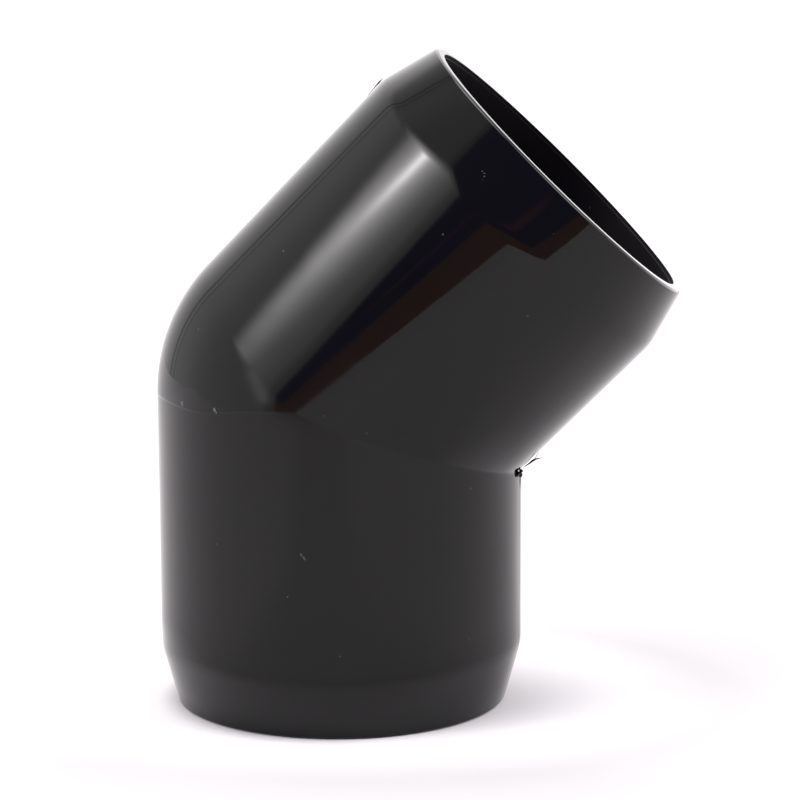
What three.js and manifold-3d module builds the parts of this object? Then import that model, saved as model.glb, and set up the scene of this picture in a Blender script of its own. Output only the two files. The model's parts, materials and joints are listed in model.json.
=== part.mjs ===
// A 45 degree PVC elbow for 1-1/4 in pipe, smooth outside, with a socket at each end.
//
// Millimetres, +Z up. The elbow stands on the rim of its lower socket. The origin is at the
// middle of the bounding box in X and Y, and at its lowest face. The lower socket opens
// straight down, and the upper socket opens up and towards +X.
//
// The real elbow is one moulding. Here it is in three solids, split where the pipes stop:
// the two sockets, and the bend that joins them.
import * as THREE from "three";
import { mergeVertices } from "three/addons/utils/BufferGeometryUtils.js";
import Module from "manifold-3d";

const wasm = await Module();
wasm.setup();

// Outside
const BEND_ANGLE = Math.PI / 4;
const OUTER_RADIUS = 25;
const CENTRE_TO_MOUTH = 42.6; // from the crossing of the two axes to either mouth
const CHAMFER_LENGTH = 7.9;
const CHAMFER_ANGLE = (15 * Math.PI) / 180;
const LIP_BEVEL_LENGTH = 0.45; // along the axis
const LIP_BEVEL_WIDTH = 0.55; // across it

// Inside
const SOCKET_DEPTH = 31.75;
const SOCKET_MOUTH_RADIUS = 21.2;
const SOCKET_STOP_RADIUS = 21.0; // the socket narrows so that the pipe wedges before it stops
const LEAD_IN = 0.4;
const WATERWAY_RADIUS = 19;

// The gap left between two solids where the real moulding runs on
const SPLIT_GAP = 0.3;

// How far the stop ring of the bend stands up inside a socket from the shoulder round it
const SHOULDER_DROP = 0.45;

// Facets round a full circle: a multiple of 8, so that the facets of the bend's sphere
// meet those of both arms
const FACETS = 72;

const CENTRE_TO_STOP = CENTRE_TO_MOUTH - SOCKET_DEPTH;
const CENTRE_TO_SHOULDER = CENTRE_TO_STOP - SHOULDER_DROP;
const CHAMFER_END_RADIUS =
  OUTER_RADIUS - (CHAMFER_LENGTH - LIP_BEVEL_LENGTH) * Math.tan(CHAMFER_ANGLE);

// How far the upper rim reaches past the crossing of the axes, upwards and towards +X alike
const RIM_REACH =
  (CENTRE_TO_MOUTH - LIP_BEVEL_LENGTH) * Math.cos(BEND_ANGLE) +
  CHAMFER_END_RADIUS * Math.sin(BEND_ANGLE);

const blackPvc = () =>
  new THREE.MeshStandardMaterial({ color: 0x17171a, roughness: 0.22, metalness: 0 });

// ---- Joining and cutting ---------------------------------------------------------------

// The triangles of a geometry on shared vertices, without those that have shrunk to a line
function solidFrom(geometry) {
  const bare = geometry.clone();
  bare.deleteAttribute("normal");
  bare.deleteAttribute("uv");
  const merged = mergeVertices(bare, 1e-4);
  const corners = [];
  for (let i = 0; i < merged.index.count; i += 3) {
    const [a, b, c] = merged.index.array.slice(i, i + 3);
    if (a !== b && b !== c && c !== a) {
      corners.push(a, b, c);
    }
  }
  return new wasm.Manifold(
    new wasm.Mesh({
      numProp: 3,
      vertProperties: new Float32Array(merged.attributes.position.array),
      triVerts: new Uint32Array(corners),
    }),
  );
}

function geometryFrom(solid) {
  const mesh = solid.getMesh();
  const geometry = new THREE.BufferGeometry();
  geometry.setAttribute("position", new THREE.BufferAttribute(mesh.vertProperties, 3));
  geometry.setIndex(new THREE.BufferAttribute(mesh.triVerts, 1));
  geometry.computeVertexNormals();
  return geometry;
}

// ---- Sockets ---------------------------------------------------------------------------

// One socket about the Z axis, its mouth at CENTRE_TO_MOUTH, as a profile that closes on
// itself: out along the end by the bend, up the outside, over the lip and down the bore
function socketGeometry() {
  const start = CENTRE_TO_SHOULDER + SPLIT_GAP;
  const profile = [
    [SOCKET_STOP_RADIUS, start],
    [OUTER_RADIUS, start],
    [OUTER_RADIUS, CENTRE_TO_MOUTH - CHAMFER_LENGTH],
    [CHAMFER_END_RADIUS, CENTRE_TO_MOUTH - LIP_BEVEL_LENGTH],
    [CHAMFER_END_RADIUS - LIP_BEVEL_WIDTH, CENTRE_TO_MOUTH],
    [SOCKET_MOUTH_RADIUS + LEAD_IN, CENTRE_TO_MOUTH],
    [SOCKET_MOUTH_RADIUS, CENTRE_TO_MOUTH - LEAD_IN],
    [SOCKET_STOP_RADIUS, start],
  ];
  const points = profile.map(([radius, height]) => new THREE.Vector2(radius, height));
  const geometry = new THREE.LatheGeometry(points, FACETS);
  geometry.rotateX(Math.PI / 2); // the lathe turns about Y
  return geometry;
}

// ---- Bend ------------------------------------------------------------------------------

// A bent rod of one radius, reaching the given length from the crossing of the axes along
// each arm: a straight rod whose rings are carried round the bend. On the inside of the
// bend the arms meet in a mitre. Round the outside, a strip of a sphere joins them.
function bentRod(radius, length) {
  const steps = (FACETS * BEND_ANGLE) / (2 * Math.PI);
  const rod = new THREE.CylinderGeometry(radius, radius, steps + 2, FACETS, steps + 2);
  rod.rotateX(Math.PI / 2);
  const upright = new THREE.Vector3(0, 1, 0);
  const place = rod.attributes.position;
  const point = new THREE.Vector3();
  for (let i = 0; i < place.count; i++) {
    point.fromBufferAttribute(place, i);
    const row = Math.round(point.z + (steps + 2) / 2);
    const turn = ((row - 1) / steps) * BEND_ANGLE;
    if (row === 0) {
      point.z = -length;
    } else if (row === steps + 2) {
      point.z = length;
      point.applyAxisAngle(upright, BEND_ANGLE);
    } else if (point.x > 0) {
      point.z = -point.x * Math.tan(BEND_ANGLE / 2);
    } else {
      point.z = 0;
      point.applyAxisAngle(upright, turn);
    }
    place.setXYZ(i, point.x, point.y, point.z);
  }
  return solidFrom(rod);
}

// The body between the shoulders, with a stop ring at each end that stands up inside the
// socket there and takes the end of the pipe, and the waterway through it all
function bendGeometry() {
  const body = bentRod(OUTER_RADIUS, CENTRE_TO_SHOULDER);
  const stopRings = bentRod(SOCKET_STOP_RADIUS - SPLIT_GAP, CENTRE_TO_STOP);
  const waterway = bentRod(WATERWAY_RADIUS, CENTRE_TO_STOP + 1);
  return geometryFrom(body.add(stopRings).subtract(waterway));
}

// ---- The elbow -------------------------------------------------------------------------

const lowerSocket = new THREE.Mesh(socketGeometry(), blackPvc());
lowerSocket.name = "lower_socket";
lowerSocket.rotation.y = Math.PI;

const bend = new THREE.Mesh(bendGeometry(), blackPvc());
bend.name = "bend";

const upperSocket = new THREE.Mesh(socketGeometry(), blackPvc());
upperSocket.name = "upper_socket";
upperSocket.rotation.y = BEND_ANGLE;

const elbow = new THREE.Group();
elbow.add(lowerSocket, bend, upperSocket);
elbow.position.set((OUTER_RADIUS - RIM_REACH) / 2, 0, CENTRE_TO_MOUTH);

const group = new THREE.Group();
group.add(elbow);

export default group;
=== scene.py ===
"""Black PVC elbow: the visual model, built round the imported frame.

The elbow is one moulding, so one closed skin stands for the three CAD solids: it runs up
the outside, over each lip, down each socket, across the pipe stops and along the waterway.
"""

import json
import random
from math import asin, cos, degrees, exp, radians, sin, tan

import bmesh
import bpy
from mathutils import Matrix, Vector


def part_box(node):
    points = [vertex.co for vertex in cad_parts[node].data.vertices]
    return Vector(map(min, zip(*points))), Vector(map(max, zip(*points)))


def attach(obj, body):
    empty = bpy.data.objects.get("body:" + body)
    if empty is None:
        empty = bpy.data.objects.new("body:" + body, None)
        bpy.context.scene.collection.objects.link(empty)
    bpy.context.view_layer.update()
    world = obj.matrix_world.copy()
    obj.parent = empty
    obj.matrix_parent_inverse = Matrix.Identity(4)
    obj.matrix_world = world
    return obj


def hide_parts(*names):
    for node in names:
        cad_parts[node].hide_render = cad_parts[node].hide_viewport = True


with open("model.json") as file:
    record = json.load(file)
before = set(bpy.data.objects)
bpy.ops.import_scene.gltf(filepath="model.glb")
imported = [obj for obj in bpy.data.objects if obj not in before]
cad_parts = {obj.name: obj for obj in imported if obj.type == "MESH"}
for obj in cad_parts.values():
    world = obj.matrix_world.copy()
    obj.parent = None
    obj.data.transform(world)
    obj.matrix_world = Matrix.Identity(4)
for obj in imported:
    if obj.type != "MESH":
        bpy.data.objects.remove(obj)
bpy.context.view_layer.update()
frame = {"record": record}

MM = 0.001

# ---- Sizes from the frame --------------------------------------------------------------

mounts = {m["name"]: m for m in frame["record"]["mounts"]}
socket_low, socket_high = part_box("lower_socket")

BEND = radians(45)
OUTER_RADIUS = (socket_high.y - socket_low.y) / 2
MOUTH = mounts["upper_rim"]["pos_m"][2] / (1 + cos(BEND))  # from the crossing of the axes
STOP = MOUTH - mounts["lower_pipe_stop"]["pos_m"][2]
CROSSING = Vector(((socket_low.x + socket_high.x) / 2, 0, MOUTH))

# ---- Sizes that the frame's boxes don't hold -------------------------------------------

CHAMFER_LENGTH = 7.9 * MM
CHAMFER_SLOPE = tan(radians(16))
LIP_LENGTH = 0.25 * MM
LIP_WIDTH = 0.42 * MM
SOCKET_MOUTH_RADIUS = 21.2 * MM
SOCKET_STOP_RADIUS = 21.0 * MM
LEAD_IN_LENGTH = 0.45 * MM  # of the small step at the entrance of each socket
LEAD_IN_STEP = 0.08 * MM
RIM_MIDDLE = SOCKET_MOUTH_RADIUS + 2 * LEAD_IN_STEP  # where the outside outline ends
WATERWAY_RADIUS = 19 * MM
OUTER_START = STOP + 1.5 * MM  # where the plain arm starts, outside and inside
INNER_START = STOP - 1.0 * MM
OUTER_CREASE = 0.45 * MM  # how far the softening of the mitre line reaches along each arm
INNER_CREASE = 0.6 * MM
CREASE_FADE = 5  # how soon the softening fades out towards the sides
SEAM_HEIGHT = 0.03 * MM  # the parting line stands this proud, so the skin is that much smaller
SKIN_RADIUS = OUTER_RADIUS - SEAM_HEIGHT

# How far from each corner its rounding starts
CHAMFER_START_ROUNDING = 0.9 * MM
CHAMFER_END_ROUNDING = 0.1 * MM
LIP_ROUNDING = 0.15 * MM
RIM_ROUNDING = 0.08 * MM
LEAD_IN_FOOT_ROUNDING = 0.05 * MM
LEAD_IN_EDGE_ROUNDING = 0.06 * MM
STOP_ROUNDING = 0.3 * MM

# The witness line. Its places are degrees from the front, or from the back, to the outside
WITNESS_HEIGHT = 0.06 * MM
WITNESS_STEP = 0.08 * MM
WITNESS_SWELL = 1.2 * MM
WITNESS_SAG = 0.75 * MM
WITNESS_SAG_CENTRE = 33
WITNESS_SAG_SPREAD = 13
WITNESS_START = 6
WITNESS_FADE_IN = 14
WITNESS_END = 86
WITNESS_FADE_OUT = 30

# Round an axis, angle 0 is the inside of the bend, -90 degrees the -Y side
SEGMENTS = 288
SEAM_SHAPE = {-0.6: 0, -0.3: 0.7, 0: 1, 0.3: 0.7, 0.6: 0}  # degrees from the seam: share of height
BEND_STEPS = 48
ROUNDING_STEPS = 5
MERGE_DISTANCE = 1e-7

# Shares of the way from the bend's edge to the plain arm, closest at the witness line
FINE_SHARES = [0.006 * i for i in range(1, 21)] + [0.15, 0.2, 0.3, 0.5, 0.75]
COARSE_SHARES = [0.04, 0.15, 0.5]


# ---- The skin --------------------------------------------------------------------------

def rounded(corners):
    """The outline through (distance, radius, rounding) corners, with a short curve at each."""
    points = [Vector((distance, radius)) for distance, radius, _ in corners]
    roundings = [rounding for _, _, rounding in corners[1:-1]]
    outline = [points[0]]
    for before, corner, after, rounding in zip(points, points[1:], points[2:], roundings):
        start = corner + (before - corner).normalized() * rounding
        end = corner + (after - corner).normalized() * rounding
        for i in range(ROUNDING_STEPS + 1):
            t = i / ROUNDING_STEPS
            outline.append(start * (1 - t) ** 2 + corner * (2 * t * (1 - t)) + end * t**2)
    outline.append(points[-1])
    return outline


def outer_outline():
    """The outside of one arm, from past the bend to its mouth, as (distance, radius)."""
    chamfer_end = SKIN_RADIUS - (CHAMFER_LENGTH - LIP_LENGTH) * CHAMFER_SLOPE
    return rounded([
        (OUTER_START, SKIN_RADIUS, 0),
        (MOUTH - CHAMFER_LENGTH, SKIN_RADIUS, CHAMFER_START_ROUNDING),
        (MOUTH - LIP_LENGTH, chamfer_end, CHAMFER_END_ROUNDING),
        (MOUTH, chamfer_end - LIP_WIDTH, LIP_ROUNDING),
        (MOUTH, RIM_MIDDLE, 0),
    ])


def inner_outline():
    """The inside of one arm, from its mouth down the socket and over the stop."""
    lead_in_radius = SOCKET_MOUTH_RADIUS + LEAD_IN_STEP
    lead_in_end = MOUTH - LEAD_IN_LENGTH
    return rounded([
        (MOUTH, RIM_MIDDLE, 0),
        (MOUTH, lead_in_radius, RIM_ROUNDING),
        (lead_in_end, lead_in_radius, LEAD_IN_FOOT_ROUNDING),
        (lead_in_end - LEAD_IN_STEP, SOCKET_MOUTH_RADIUS, LEAD_IN_EDGE_ROUNDING),
        (STOP, SOCKET_STOP_RADIUS, STOP_ROUNDING),
        (STOP, WATERWAY_RADIUS, STOP_ROUNDING),
        (INNER_START, WATERWAY_RADIUS, 0),
    ])[1:]


def angles():
    """The angles of a ring's points, closer together at the two seams."""
    regular = [360 * j / SEGMENTS for j in range(SEGMENTS)]
    seams = [middle + offset for middle in (0, 180) for offset in SEAM_SHAPE if offset]
    return sorted(radians(angle % 360) for angle in regular + seams)


def seam(angle):
    """How far the parting line stands out of the skin."""
    offset = (degrees(angle) + 90) % 180 - 90
    return SEAM_HEIGHT * SEAM_SHAPE.get(round(offset, 3), 0)


def inner_ring(radius, place):
    return [place(radius, a) for a in angles()]


def outer_ring(radius, place, push=lambda angle: 0):
    """A ring of the skin, with the parting line's height and any push outwards."""
    return [place(radius + seam(a) + push(a), a) for a in angles()]


def smooth(value):
    value = max(0, min(1, value))
    return value * value * (3 - 2 * value)


def witness(angle, below):
    """The skin's swell and step at the joint line of the mould, on the outer half of the bend.

    below is the distance below the circle where the sphere meets the lower arm.
    """
    turned = degrees(asin(max(-1, min(1, -cos(angle)))))  # 0 at the front and back, 90 outside
    strength = smooth((turned - WITNESS_START) / WITNESS_FADE_IN)
    strength *= smooth((WITNESS_END - turned) / WITNESS_FADE_OUT)
    line = WITNESS_SAG * exp(-((turned - WITNESS_SAG_CENTRE) / WITNESS_SAG_SPREAD) ** 2)
    if below > line:
        return WITNESS_HEIGHT * strength * (1 - smooth((below - line) / WITNESS_STEP))
    return WITNESS_HEIGHT * strength * exp((below - line) / WITNESS_SWELL)


def lower_place(distance):
    return lambda r, a: CROSSING + Vector((r * cos(a), r * sin(a), -distance))


def upper_place(distance):
    turn = Matrix.Rotation(BEND, 3, "Y")
    return lambda r, a: CROSSING + turn @ Vector((r * cos(a), r * sin(a), distance))


def bend_place(t, soften):
    """Rings through the bend, t from 0 at the lower arm to 1 at the upper one.

    Outside, the ring swings round the sphere. Inside, it crosses the mitre line, which is
    softened over a short length of each arm.
    """
    swing = Matrix.Rotation(BEND * t, 3, "Y")
    upper_axis = Vector((sin(BEND), 0, cos(BEND)))

    def place(r, a):
        if cos(a) <= 0:
            return CROSSING + swing @ Vector((r * cos(a), r * sin(a), 0))
        crease = Vector((r * cos(a), r * sin(a), -r * cos(a) * tan(BEND / 2)))
        reach = soften * min(1, cos(a) * CREASE_FADE)
        below = crease - Vector((0, 0, reach))
        above = crease + upper_axis * reach
        return CROSSING + below * (1 - t) ** 2 + crease * (2 * t * (1 - t)) + above * t**2

    return place


def leaving_place(share, end, straight):
    """Places a share of the way from the bend's edge to where the plain arm starts."""
    return lambda r, a: end(r, a).lerp(straight(r, a), share)


def bend_ring(t):
    place = bend_place(t, OUTER_CREASE)
    return outer_ring(SKIN_RADIUS, place, lambda a: witness(a, SKIN_RADIUS * cos(a) * BEND * t))


def lower_ring(share):
    place = leaving_place(share, bend_place(0, OUTER_CREASE), lower_place(OUTER_START))
    return outer_ring(SKIN_RADIUS, place, lambda a: witness(a, share * OUTER_START))


def upper_ring(share):
    place = leaving_place(share, bend_place(1, OUTER_CREASE), upper_place(OUTER_START))
    return outer_ring(SKIN_RADIUS, place)


def waterway_ring(share, t, straight):
    place = leaving_place(share, bend_place(t, INNER_CREASE), straight)
    return inner_ring(WATERWAY_RADIUS, place)


def skin_rings():
    """All the rings in order, each with True where the faces after it line the inside."""
    steps = [i / BEND_STEPS for i in range(BEND_STEPS + 1)]
    outer, inner = outer_outline(), inner_outline()
    upper_skin = [bend_ring(t) for t in steps]
    upper_skin += [upper_ring(share) for share in FINE_SHARES]
    upper_skin += [outer_ring(p.y, upper_place(p.x)) for p in outer]
    inside = [inner_ring(p.y, upper_place(p.x)) for p in inner]
    inside += [waterway_ring(share, 1, upper_place(INNER_START))
               for share in reversed(COARSE_SHARES)]
    inside += [inner_ring(WATERWAY_RADIUS, bend_place(1 - t, INNER_CREASE)) for t in steps]
    inside += [waterway_ring(share, 0, lower_place(INNER_START)) for share in COARSE_SHARES]
    inside += [inner_ring(p.y, lower_place(p.x)) for p in reversed(inner)]
    lower_skin = [outer_ring(p.y, lower_place(p.x)) for p in reversed(outer)]
    lower_skin += [lower_ring(share) for share in reversed(FINE_SHARES)]
    return ([(ring, False) for ring in upper_skin] + [(ring, True) for ring in inside]
            + [(ring, False) for ring in lower_skin])


def add_object(name, mesh):
    """A new object from a bmesh, which is freed."""
    data = bpy.data.meshes.new(name)
    mesh.to_mesh(data)
    mesh.free()
    piece = bpy.data.objects.new(name, data)
    bpy.context.collection.objects.link(piece)
    return piece


def make_skin():
    rings = skin_rings()
    mesh = bmesh.new()
    rows = [[mesh.verts.new(point) for point in points] for points, _ in rings]
    for i, row in enumerate(rows):
        following = rows[(i + 1) % len(rows)]
        for j in range(len(row)):
            k = (j + 1) % len(row)
            face = mesh.faces.new((row[j], row[k], following[k], following[j]))
            face.material_index = int(rings[i][1])
    bmesh.ops.remove_doubles(mesh, verts=mesh.verts, dist=MERGE_DISTANCE)
    bmesh.ops.dissolve_degenerate(mesh, dist=MERGE_DISTANCE, edges=mesh.edges)
    bmesh.ops.recalc_face_normals(mesh, faces=mesh.faces)
    for face in mesh.faces:
        face.smooth = True
    return add_object("elbow_skin", mesh)


# ---- Flash -----------------------------------------------------------------------------

FLASH_SEED = 4
CRUMB_RAGGEDNESS = (0.55, 1.25)  # the shortest and longest share of its size

# Crumbs in the crotch of the bend, in mm: place from the crotch and size
CRUMBS = (
    ((0.06, -1.7, -0.42), 0.47),
    ((0.38, -1.5, 0.0), 0.26),
)

# Slivers on the parting line, in mm: course as (distance, height above the skin), width at
# each inner point of the course, and thickness. The first three start at the crotch
LONG_SLIVER = (
    [(0.3, 0.1), (0.9, 0.2), (1.5, 0.3), (2.1, 0.35), (2.6, 0.5), (3.1, 0.8), (3.6, 1.25)],
    [0.12, 0.22, 0.3, 0.2, 0.1, 0.07],
    0.12,
)
SHORT_SLIVER = (
    [(2.2, 0.35), (2.7, 0.3), (3.3, 0.15), (3.8, 0.08)],
    [0.08, 0.06],
    0.06,
)
LOWER_SLIVER = (
    [(0.4, 0.0), (0.9, 0.06), (1.8, 0.05), (2.6, 0.02), (3.2, -0.05)],
    [0.08, 0.08, 0.06],
    0.2,
)
WHISKER = (
    [(-4.1, -0.05), (-3.5, 0.4), (-2.6, 0.46), (-1.8, 0.5), (-1.2, 0.54), (-0.7, 0.52),
     (-0.2, 0.58)],
    [0.08, 0.08, 0.14, 0.26, 0.1],
    0.14,
)


def in_plane(arm_place, side, distance, height):
    """A point on the parting plane, height above the skin.

    side is 0 inside the bend and 180 outside.
    """
    return arm_place(distance)(SKIN_RADIUS + height, radians(side))


def add_sliver(mesh, arm_place, side, start, sliver):
    """A closed sliver along its course in the parting plane, pointed at both ends."""
    course, widths, thickness = sliver
    points = [in_plane(arm_place, side, start + d * MM, h * MM) for d, h in course]
    across = Vector((0, 1, 0)) * (thickness * MM)
    first = mesh.verts.new(points[0])
    last = mesh.verts.new(points[-1])
    rows = []
    for before, point, after, width in zip(points, points[1:], points[2:], widths):
        outwards = (after - before).normalized().cross(Vector((0, 1, 0))) * (width * MM)
        offsets = (outwards, across, -outwards, -across)
        rows.append([mesh.verts.new(point + offset / 2) for offset in offsets])
    for i in range(4):
        k = (i + 1) % 4
        mesh.faces.new((first, rows[0][i], rows[0][k]))
        mesh.faces.new((last, rows[-1][k], rows[-1][i]))
        for row, following in zip(rows, rows[1:]):
            mesh.faces.new((row[i], row[k], following[k], following[i]))


def add_crumb(mesh, centre, size, draw):
    """A ragged crumb of plastic."""
    made = bmesh.ops.create_icosphere(mesh, subdivisions=2, radius=size)
    for vert in made["verts"]:
        vert.co = centre + vert.co * draw.uniform(*CRUMB_RAGGEDNESS)


def make_flash():
    """Slivers left on the parting line: in the crotch of the bend and by the upper chamfer."""
    draw = random.Random(FLASH_SEED)
    mesh = bmesh.new()
    crotch = SKIN_RADIUS * tan(BEND / 2)
    apex = in_plane(lower_place, 0, crotch, 0)
    for offset, size in CRUMBS:
        add_crumb(mesh, apex + Vector(offset) * MM, size * MM, draw)
    add_sliver(mesh, upper_place, 0, crotch, LONG_SLIVER)
    add_sliver(mesh, upper_place, 0, crotch, SHORT_SLIVER)
    add_sliver(mesh, lower_place, 0, crotch, LOWER_SLIVER)
    add_sliver(mesh, upper_place, 180, MOUTH - CHAMFER_LENGTH, WHISKER)
    bmesh.ops.recalc_face_normals(mesh, faces=mesh.faces)
    return add_object("mould_flash", mesh)


# ---- Nodes -----------------------------------------------------------------------------

class Nodes:
    """Short calls for building a node tree."""

    def __init__(self, tree):
        self.tree = tree
        self.tree.nodes.clear()

    def add(self, kind, **settings):
        node = self.tree.nodes.new(kind)
        for key, value in settings.items():
            setattr(node, key, value)
        return node

    def put(self, socket, value):
        if isinstance(value, bpy.types.NodeSocket):
            self.tree.links.new(value, socket)
        else:
            socket.default_value = value

    def math(self, operation, *values):
        node = self.add("ShaderNodeMath", operation=operation)
        for socket, value in zip(node.inputs, values):
            self.put(socket, value)
        return node.outputs[0]

    def vector_math(self, operation, *values):
        node = self.add("ShaderNodeVectorMath", operation=operation)
        for socket, value in zip(node.inputs, values):
            self.put(socket, value)
        return node.outputs

    def product(self, *values):
        result = values[0]
        for value in values[1:]:
            result = self.math("MULTIPLY", result, value)
        return result

    def sum(self, *values):
        result = values[0]
        for value in values[1:]:
            result = self.math("ADD", result, value)
        return result

    def rise(self, value, start, end, low=0.0, high=1.0):
        """Smoothly from low, where value is start, to high, where it is end."""
        node = self.add("ShaderNodeMapRange", interpolation_type="SMOOTHSTEP")
        for name, setting in (
            ("Value", value), ("From Min", start), ("From Max", end),
            ("To Min", low), ("To Max", high),
        ):
            self.put(node.inputs[name], setting)
        return node.outputs["Result"]

    def between(self, value, start, end, soft):
        """1 from start to end, and 0 outside."""
        up = self.rise(value, start - soft, start + soft)
        down = self.rise(value, end - soft, end + soft, 1.0, 0.0)
        return self.product(up, down)

    def mix(self, factor, below, above):
        node = self.add("ShaderNodeMix", data_type="RGBA")
        self.put(node.inputs["Factor"], factor)
        for name, value in (("A", below), ("B", above)):
            socket = [s for s in node.inputs if s.name == name and s.type == "RGBA"][0]
            self.put(socket, (*value, 1) if isinstance(value, tuple) else value)
        return [s for s in node.outputs if s.type == "RGBA"][0]

    def scaled(self, colour, factor):
        node = self.add("ShaderNodeVectorMath", operation="SCALE")
        self.put(node.inputs[0], colour)
        self.put(node.inputs["Scale"], factor)
        return node.outputs[0]

    def noise(self, place, scale, detail=2.0, roughness=0.5):
        node = self.add("ShaderNodeTexNoise")
        self.put(node.inputs["Vector"], place)
        self.put(node.inputs["Scale"], scale)
        self.put(node.inputs["Detail"], detail)
        self.put(node.inputs["Roughness"], roughness)
        return node.outputs["Fac"]

    def finish(self, kind, surface):
        output = self.add(kind)
        self.put(output.inputs["Surface"], surface)


# From here on, a ramp is (start, end, low, high) as Nodes.rise takes it, where low and high
# may be left out, and a span is (start, end, soft) as Nodes.between takes it

# ---- Black PVC -------------------------------------------------------------------------

RIPPLE_SCALE = 170  # ripples left by the mould, some millimetres long
RIPPLE_DETAIL = 1.0
PEEL_SCALE = 1400  # a finer orange peel
PEEL_HEIGHT = 0.03  # against the ripples' height
LINT_SCALE = 600
LINT_SIZE = (0.80, 1.0, 0.0, 0.09)  # from a cell's chance, so that most cells have no speck
LINT_COLOUR = (0.055, 0.053, 0.050)
SCUFF_COLOUR = (0.09, 0.09, 0.09)
CRUMBLE_SCALE = 2600
CRUMBLE = (0.3, 0.7, 0.35, 1.35)  # how ragged the scuffs are
MARK_ROUGHNESS = 0.8  # of lint and scuffs
MARK_HEIGHT = 3.0
HAZE_SCALE = 45
HAZE_DETAIL = 5.0
HAZE_GRAIN = 0.6
HAZE_ON_GLOSS = (0.35, 0.75)
HAZE_ON_COLOUR = (0.3, 0.8)
BUMP_DEPTH = 0.012 * MM

# Scuffs as (arm, angle round it in degrees, distance from the crossing and size in mm)
SCUFFS = (
    (lower_place, -132, -0.05, 0.3),
    (lower_place, -116.7, 0.15, 0.24),
    (lower_place, -116.0, 0.5, 0.13),
    (lower_place, -88.7, 17.85, 0.12),
    (lower_place, -88.4, 18.0, 0.13),
    (lower_place, -88.05, 18.2, 0.13),
    (lower_place, -87.7, 18.4, 0.12),
    (lower_place, -87.35, 18.6, 0.11),
    (upper_place, -101.1, 37.7, 0.09),
    (upper_place, -100.2, 37.75, 0.1),
    (upper_place, -99.5, 37.5, 0.11),
    (upper_place, -99.0, 37.1, 0.1),
)


def scuff_marks(nodes, place):
    """1 on the scuffs, which follow the chamfer where they lie on it, and 0 elsewhere."""
    crumble = nodes.rise(nodes.noise(place, CRUMBLE_SCALE), *CRUMBLE)
    scuff = 0.0
    for arm_place, angle, distance, size in SCUFFS:
        past = max(0, distance * MM - (MOUTH - CHAMFER_LENGTH))
        radius = SKIN_RADIUS - past * CHAMFER_SLOPE
        centre = arm_place(distance * MM)(radius, radians(angle))
        away = nodes.vector_math("DISTANCE", place, centre)["Value"]
        reach = nodes.product(crumble, size * MM)
        scuff = nodes.math("MAXIMUM", scuff, nodes.math("LESS_THAN", away, reach))
    return scuff


def lint_marks(nodes, place):
    """1 on a few tiny specks of lint, and 0 elsewhere."""
    specks = nodes.add("ShaderNodeTexVoronoi")
    nodes.put(specks.inputs["Vector"], place)
    nodes.put(specks.inputs["Scale"], LINT_SCALE)
    chance = nodes.add("ShaderNodeSeparateColor")
    nodes.put(chance.inputs[0], specks.outputs["Color"])
    speck_size = nodes.rise(chance.outputs[0], *LINT_SIZE)
    return nodes.math("LESS_THAN", specks.outputs["Distance"], speck_size)


def black_pvc(name, dark, light, smoothest, roughest, ior):
    """Moulded black PVC: faint ripples, a haze of handling marks, scuffs and stray lint."""
    material = bpy.data.materials.new(name)
    material.use_nodes = True
    nodes = Nodes(material.node_tree)
    place = nodes.add("ShaderNodeTexCoord").outputs["Object"]
    lint = lint_marks(nodes, place)
    scuff = scuff_marks(nodes, place)
    marks = nodes.math("MAXIMUM", lint, scuff)
    haze = nodes.noise(place, HAZE_SCALE, HAZE_DETAIL, HAZE_GRAIN)

    roughness = nodes.rise(haze, *HAZE_ON_GLOSS, smoothest, roughest)
    roughness = nodes.math("MAXIMUM", roughness, nodes.product(marks, MARK_ROUGHNESS))

    base = nodes.mix(nodes.rise(haze, *HAZE_ON_COLOUR), dark, light)
    base = nodes.mix(lint, base, LINT_COLOUR)
    base = nodes.mix(scuff, base, SCUFF_COLOUR)

    ripple = nodes.noise(place, RIPPLE_SCALE, RIPPLE_DETAIL)
    peel = nodes.noise(place, PEEL_SCALE)
    height = nodes.sum(ripple, nodes.product(peel, PEEL_HEIGHT), nodes.product(marks, MARK_HEIGHT))
    bump = nodes.add("ShaderNodeBump")
    nodes.put(bump.inputs["Strength"], 1.0)
    nodes.put(bump.inputs["Distance"], BUMP_DEPTH)
    nodes.put(bump.inputs["Height"], height)

    shader = nodes.add("ShaderNodeBsdfPrincipled")
    shader.inputs["IOR"].default_value = ior
    nodes.put(shader.inputs["Base Color"], base)
    nodes.put(shader.inputs["Roughness"], roughness)
    nodes.put(shader.inputs["Normal"], bump.outputs[0])
    nodes.finish("ShaderNodeOutputMaterial", shader.outputs[0])
    return material


# ---- Table -----------------------------------------------------------------------------

TABLE_FRONT = 0.190  # from the origin to the front edge, where the table top curls up
TABLE_BACK = 4.0
TABLE_HALF_WIDTH = 4.0
TABLE_SKEW = 0.2  # slope of the front edge, as far as SKEW_REACH to each side
SKEW_REACH = 0.4
CURL_LENGTH = 0.07
CURL_HEIGHT = 0.0212
CURL_STEPS = 8

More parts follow.
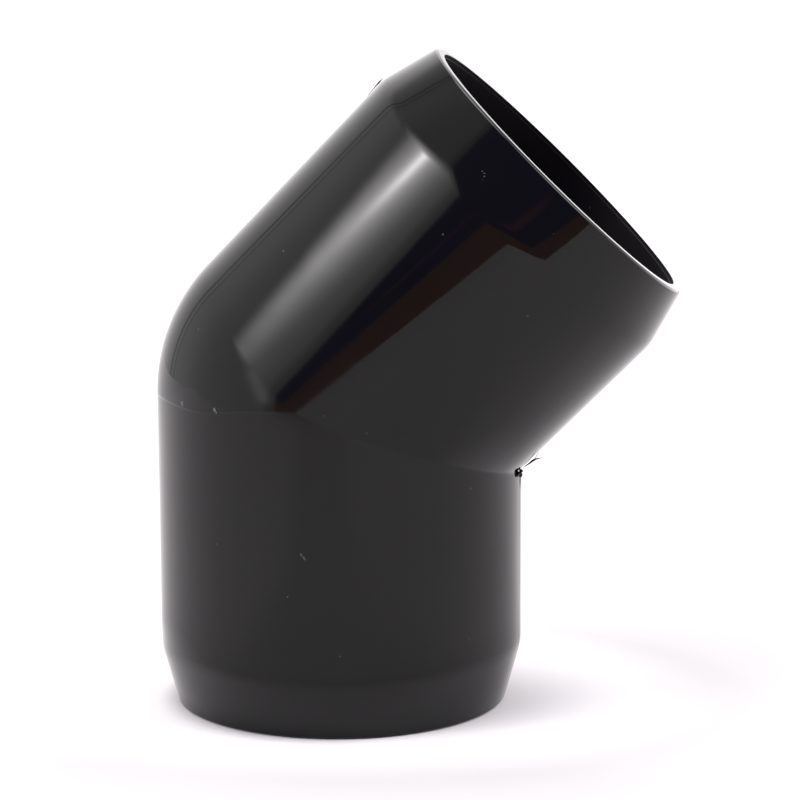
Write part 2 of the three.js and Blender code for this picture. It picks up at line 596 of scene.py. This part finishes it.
PAINTED_POOL_CENTRE = (-0.015, 0.004, 0)  # of the painted pool of light on the table, under the object
PAINTED_POOL_STRETCH = (0.95, 1.3, 0)
PAINTED_LIGHT_POOL = (0.036, 0.058, 0.80, 0.53)  # the painted pool of light: the table's tone by distance from the centre
PAINTED_LIGHT_LEFT_BY_X = (-0.02, -0.09)  # painted light: the part to the left of the object, a little brighter
PAINTED_LIGHT_LEFT_BY_Y = (0.35, 0.10)
PAINTED_LIGHT_LEFT_TONE = (0, 1, 1.0, 1.12)
PAINTED_SHADE_FRONT_BY_SIDE = (0.065, 0.025)  # painted shade: the part in front of the object, a little darker
PAINTED_SHADE_FRONT_BY_Y = (-0.015, -0.04)
PAINTED_SHADE_FRONT_TONE = (0, 1, 1.0, 0.93)
GRAIN_SCALE = 30
GRAIN_DETAIL = 4.0
GRAIN = (0.2, 0.8, 0.985, 1.0)
BLACK = (0.0, 0.0, 0.0)
TABLE_TINT = (1.0, 0.978, 0.99)


def pale_table_painted_light():
    """A matt pale finish with a painted pool of light under the object, which reflects it, painted
    light to its left and painted shade in front of it.
    """
    material = bpy.data.materials.new("pale_table_painted_light")
    material.use_nodes = True
    nodes = Nodes(material.node_tree)
    place = nodes.add("ShaderNodeTexCoord").outputs["Object"]
    # a painted pool of light, brightest under the object and fading with distance from it
    offset = nodes.vector_math("SUBTRACT", place, PAINTED_POOL_CENTRE)[0]
    stretched = nodes.vector_math("MULTIPLY", offset, PAINTED_POOL_STRETCH)[0]
    away = nodes.vector_math("LENGTH", stretched)["Value"]
    painted_light_and_grain = nodes.rise(away, *PAINTED_LIGHT_POOL)
    ground = nodes.add("ShaderNodeSeparateXYZ")
    nodes.put(ground.inputs[0], place)
    x, y, _ = ground.outputs
    # painted light: the table a little brighter to the left of the object
    left = nodes.product(nodes.rise(x, *PAINTED_LIGHT_LEFT_BY_X), nodes.rise(y, *PAINTED_LIGHT_LEFT_BY_Y))
    painted_light_and_grain = nodes.product(painted_light_and_grain, nodes.rise(left, *PAINTED_LIGHT_LEFT_TONE))
    # painted shade: the table a little darker in front of the object
    sideways = nodes.math("ABSOLUTE", x)
    front = nodes.product(nodes.rise(sideways, *PAINTED_SHADE_FRONT_BY_SIDE), nodes.rise(y, *PAINTED_SHADE_FRONT_BY_Y))
    painted_light_and_grain = nodes.product(painted_light_and_grain, nodes.rise(front, *PAINTED_SHADE_FRONT_TONE))
    grain = nodes.noise(place, GRAIN_SCALE, GRAIN_DETAIL)
    painted_light_and_grain = nodes.product(painted_light_and_grain, nodes.rise(grain, *GRAIN))
    shader = nodes.add("ShaderNodeBsdfDiffuse")
    nodes.put(shader.inputs["Color"], nodes.mix(painted_light_and_grain, BLACK, TABLE_TINT))
    nodes.finish("ShaderNodeOutputMaterial", shader.outputs[0])
    return material


def make_table():
    """A pale table top that curls up at its front edge, below the camera's view.

    The object reflects the curl.
    """
    shares = [i / CURL_STEPS for i in range(CURL_STEPS + 1)]
    curl = [(CURL_LENGTH * (share - 1), CURL_HEIGHT * (1 - share) ** 2) for share in shares]
    mesh = bmesh.new()
    rows = []
    for x in (-TABLE_HALF_WIDTH, -SKEW_REACH, SKEW_REACH, TABLE_HALF_WIDTH):
        skew = TABLE_SKEW * max(-SKEW_REACH, min(SKEW_REACH, x))
        front = -TABLE_FRONT - skew + CURL_LENGTH
        profile = [(front + step, height) for step, height in curl]
        profile.append((TABLE_BACK, 0))
        rows.append([mesh.verts.new((x, y, z)) for y, z in profile])
    for left, right in zip(rows, rows[1:]):
        for i in range(len(left) - 1):
            mesh.faces.new((left[i], right[i], right[i + 1], left[i + 1])).smooth = True
    table = add_object("table_top", mesh)
    table.data.materials.append(pale_table_painted_light())


# ---- Surroundings ----------------------------------------------------------------------

# Directions are an azimuth in degrees, 0 towards -Y and positive towards +X, and an
# elevation above the horizon, also in degrees

LIGHT_TINT = (1.0, 0.975, 0.99)  # of the walls and the lamp on the left

# Walls, brighter behind the object and dimmer high up and at the left behind it
WALLS_BY_SIDE = (118, 165, 1.2, 1.9)
WALLS_BY_ELEVATION = (36, 46, 1.0, 0.64)
WALLS_BY_AZIMUTH = (-118, -95, 0.76, 1.0)

# Two thin dark gaps in the walls
GAP_AZIMUTH = (-120.5, -119, 0.6)
FAINT_GAP_AZIMUTH = (-115.5, -113.5, 0.6)
FAINT_GAP_SHARE = 0.45
GAPS_ELEVATION = (-20, 62, 4)
GAPS_DEPTH = 0.6

# The lamp: a core and a wide halo, stretched and leaning, cut off at the top and the left
LAMP_AZIMUTH = -54.3
LAMP_ELEVATION = 32.8
LAMP_NARROWING = 0.87
LAMP_FLATNESS = 1.97
LAMP_LEAN = 0.22
LAMP_GLOW = 260.0
LAMP_CORE = 9.0
HALO = 6.0
HALO_SPREAD = 248.0
LAMP_EDGE_AZIMUTH = -32.5
LAMP_EDGE_LEAN = 1.36
LAMP_EDGE = (0, 12)
LAMP_TOP = (42, 52, 1, 0)

# A faint strip below the lamp, at STRIP_AZIMUTH on the horizon
STRIP_AZIMUTH = -34.0
STRIP_LEAN = 0.75
STRIP_WIDTH = 5
STRIP_ELEVATION = (-2, 14, 3)

# The dim room on the open side, and the dimming of the walls and the lamp towards it
ROOM_LEAN = 0.19
DIMMING_BY_EDGE = (-35, -28)
DIMMING_BY_AZIMUTH = (0, 60, 1, 0)
DIMMING = 0.4
ROOM_BY_EDGE = (-28, -25)
ROOM_BY_AZIMUTH = (60, 64, 1, 0)
ROOM_BY_ELEVATION = (60, 70, 1.0, 0.0)
ROOM_COLOUR = (0.15, 0.15, 0.26)
FURNITURE_BY_ELEVATION = (-2.0, -0.8, 1.0, 0.0)
FURNITURE_COLOUR = (0.45, 0.27, 0.23)

# A brown rail in the room, which rises and widens to the right
RAIL_SLOPE = 0.14
RAIL_ELEVATION = 6.4
RAIL_HALF_WIDTH = (6, 20, 0.45, 2.2)
RAIL_EDGE = (-0.4, 0.5, 1.0, 0.0)
RAIL_AZIMUTH = (-20, 30, 1.5)
RAIL_COLOUR = (0.36, 0.21, 0.26)

# A large lamp that faces the upper mouth, and a broad one straight above
FACING_AZIMUTH = (66, 118, 4)
FACING_ELEVATION = (28, 60, 4)
FACING_LIGHT = (5.2, 5.05, 5.1)
TOP_BY_ELEVATION = (64, 72)
TOP_LIGHT = (7.2, 7.05, 7.1)

BACKDROP = (1.2, 1.2, 1.2)


def make_surroundings():
    """White walls, a soft lamp high on the left and the dim room on the open side."""
    world = bpy.data.worlds.new("studio")
    bpy.context.scene.world = world
    world.use_nodes = True
    nodes = Nodes(world.node_tree)
    direction = nodes.add("ShaderNodeSeparateXYZ")
    nodes.put(direction.inputs[0], nodes.add("ShaderNodeTexCoord").outputs["Generated"])
    x, y, z = direction.outputs
    azimuth = nodes.math("DEGREES", nodes.math("ARCTAN2", x, nodes.product(y, -1.0)))
    elevation = nodes.math("DEGREES", nodes.math("ARCSINE", z))

    side = nodes.math("ABSOLUTE", azimuth)
    walls = nodes.product(nodes.rise(side, *WALLS_BY_SIDE),
                          nodes.rise(elevation, *WALLS_BY_ELEVATION),
                          nodes.rise(azimuth, *WALLS_BY_AZIMUTH))
    faint_gap = nodes.product(nodes.between(azimuth, *FAINT_GAP_AZIMUTH), FAINT_GAP_SHARE)
    gaps = nodes.math("MAXIMUM", nodes.between(azimuth, *GAP_AZIMUTH), faint_gap)
    gaps = nodes.product(gaps, nodes.between(elevation, *GAPS_ELEVATION))
    walls = nodes.product(walls, nodes.math("SUBTRACT", 1.0, nodes.product(gaps, GAPS_DEPTH)))

    across = nodes.product(nodes.math("SUBTRACT", azimuth, LAMP_AZIMUTH), LAMP_NARROWING)
    along = nodes.math("SUBTRACT", elevation, LAMP_ELEVATION)
    distance = nodes.sum(nodes.product(across, across),
                         nodes.product(along, along, LAMP_FLATNESS),
                         nodes.product(across, along, LAMP_LEAN))
    core = nodes.math("DIVIDE", LAMP_GLOW, nodes.math("ADD", distance, LAMP_CORE))
    halo = nodes.math("EXPONENT", nodes.product(distance, -1 / HALO_SPREAD))
    glow = nodes.math("ADD", core, nodes.product(halo, HALO))
    leaning = nodes.product(elevation, LAMP_EDGE_LEAN)
    edge = nodes.math("SUBTRACT", LAMP_EDGE_AZIMUTH, leaning)
    past_edge = nodes.math("SUBTRACT", azimuth, edge)
    glow = nodes.product(glow, nodes.rise(past_edge, *LAMP_EDGE), nodes.rise(elevation, *LAMP_TOP))

    from_strip = nodes.math("SUBTRACT", azimuth, STRIP_AZIMUTH)
    from_strip = nodes.math("ADD", from_strip, nodes.product(elevation, STRIP_LEAN))
    from_strip = nodes.product(from_strip, 1 / STRIP_WIDTH)
    strip = nodes.math("EXPONENT", nodes.product(from_strip, from_strip, -1.0))
    strip = nodes.product(strip, nodes.between(elevation, *STRIP_ELEVATION))

    room_edge = nodes.math("SUBTRACT", azimuth, nodes.product(elevation, ROOM_LEAN))
    dimming = nodes.product(nodes.rise(room_edge, *DIMMING_BY_EDGE),
                            nodes.rise(azimuth, *DIMMING_BY_AZIMUTH), DIMMING)
    total = nodes.product(nodes.sum(walls, glow, strip), nodes.math("SUBTRACT", 1.0, dimming))
    light = nodes.scaled(LIGHT_TINT, total)

    rail_height = nodes.math("SUBTRACT", elevation, nodes.product(azimuth, RAIL_SLOPE))
    from_rail = nodes.math("ABSOLUTE", nodes.math("SUBTRACT", rail_height, RAIL_ELEVATION))
    past_rail = nodes.math("SUBTRACT", from_rail, nodes.rise(azimuth, *RAIL_HALF_WIDTH))
    rail = nodes.product(nodes.rise(past_rail, *RAIL_EDGE), nodes.between(azimuth, *RAIL_AZIMUTH))
    furniture = nodes.rise(elevation, *FURNITURE_BY_ELEVATION)
    room = nodes.mix(furniture, ROOM_COLOUR, FURNITURE_COLOUR)
    room = nodes.mix(rail, room, RAIL_COLOUR)
    open_side = nodes.product(nodes.rise(room_edge, *ROOM_BY_EDGE),
                              nodes.rise(azimuth, *ROOM_BY_AZIMUTH),
                              nodes.rise(elevation, *ROOM_BY_ELEVATION))
    light = nodes.mix(open_side, light, room)

    facing = nodes.product(nodes.between(azimuth, *FACING_AZIMUTH),
                           nodes.between(elevation, *FACING_ELEVATION))
    light = nodes.mix(facing, light, FACING_LIGHT)
    light = nodes.mix(nodes.rise(elevation, *TOP_BY_ELEVATION), light, TOP_LIGHT)

    # The camera itself sees a plain white backdrop
    seen = nodes.add("ShaderNodeLightPath").outputs["Is Camera Ray"]
    light = nodes.mix(seen, light, BACKDROP)
    background = nodes.add("ShaderNodeBackground")
    nodes.put(background.inputs["Color"], light)
    nodes.finish("ShaderNodeOutputWorld", background.outputs[0])


# ---- Camera ----------------------------------------------------------------------------

CAMERA_AZIMUTH = radians(13.15)
CAMERA_ELEVATION = radians(6.79)
CAMERA_DISTANCE = 10.52 * OUTER_RADIUS
AIM_RIGHT = 0.329 * OUTER_RADIUS
AIM_UP = -0.058 * OUTER_RADIUS
CAMERA_ROLL = radians(-0.18)
LENS = 85.98
SENSOR_WIDTH = 36
NEAREST = 0.01
FARTHEST = 100


def make_camera():
    back = Vector((
        sin(CAMERA_AZIMUTH) * cos(CAMERA_ELEVATION),
        -cos(CAMERA_AZIMUTH) * cos(CAMERA_ELEVATION),
        sin(CAMERA_ELEVATION),
    ))
    right = (-back).cross(Vector((0, 0, 1))).normalized()
    up = right.cross(-back)
    place = CROSSING + back * CAMERA_DISTANCE
    aim = CROSSING + right * AIM_RIGHT + up * AIM_UP
    camera = bpy.data.objects.new("camera", bpy.data.cameras.new("camera"))
    camera.data.lens = LENS
    camera.data.sensor_width = SENSOR_WIDTH
    camera.data.clip_start = NEAREST
    camera.data.clip_end = FARTHEST
    look = (aim - place).to_track_quat("-Z", "Y").to_matrix()
    roll = Matrix.Rotation(CAMERA_ROLL, 3, "Z")
    camera.matrix_world = Matrix.Translation(place) @ (look @ roll).to_4x4()
    bpy.context.collection.objects.link(camera)
    bpy.context.scene.camera = camera


# ---- The scene -------------------------------------------------------------------------

make_camera()
make_table()
make_surroundings()
bpy.context.scene.view_settings.view_transform = "Standard"

pvc = black_pvc("black_pvc", dark=(0.0010, 0.0009, 0.0012), light=(0.0016, 0.0014, 0.0018),
                smoothest=0.045, roughest=0.10, ior=1.36)
bore = black_pvc("black_pvc_bore", dark=(0.0018, 0.0008, 0.0024), light=(0.0024, 0.0012, 0.0030),
                 smoothest=0.5, roughest=0.6, ior=1.2)
elbow = make_skin()
elbow.data.materials.append(pvc)
elbow.data.materials.append(bore)
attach(elbow, "root")
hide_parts("lower_socket", "bend", "upper_socket")

flash = make_flash()
flash.data.materials.append(pvc)
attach(flash, "root")
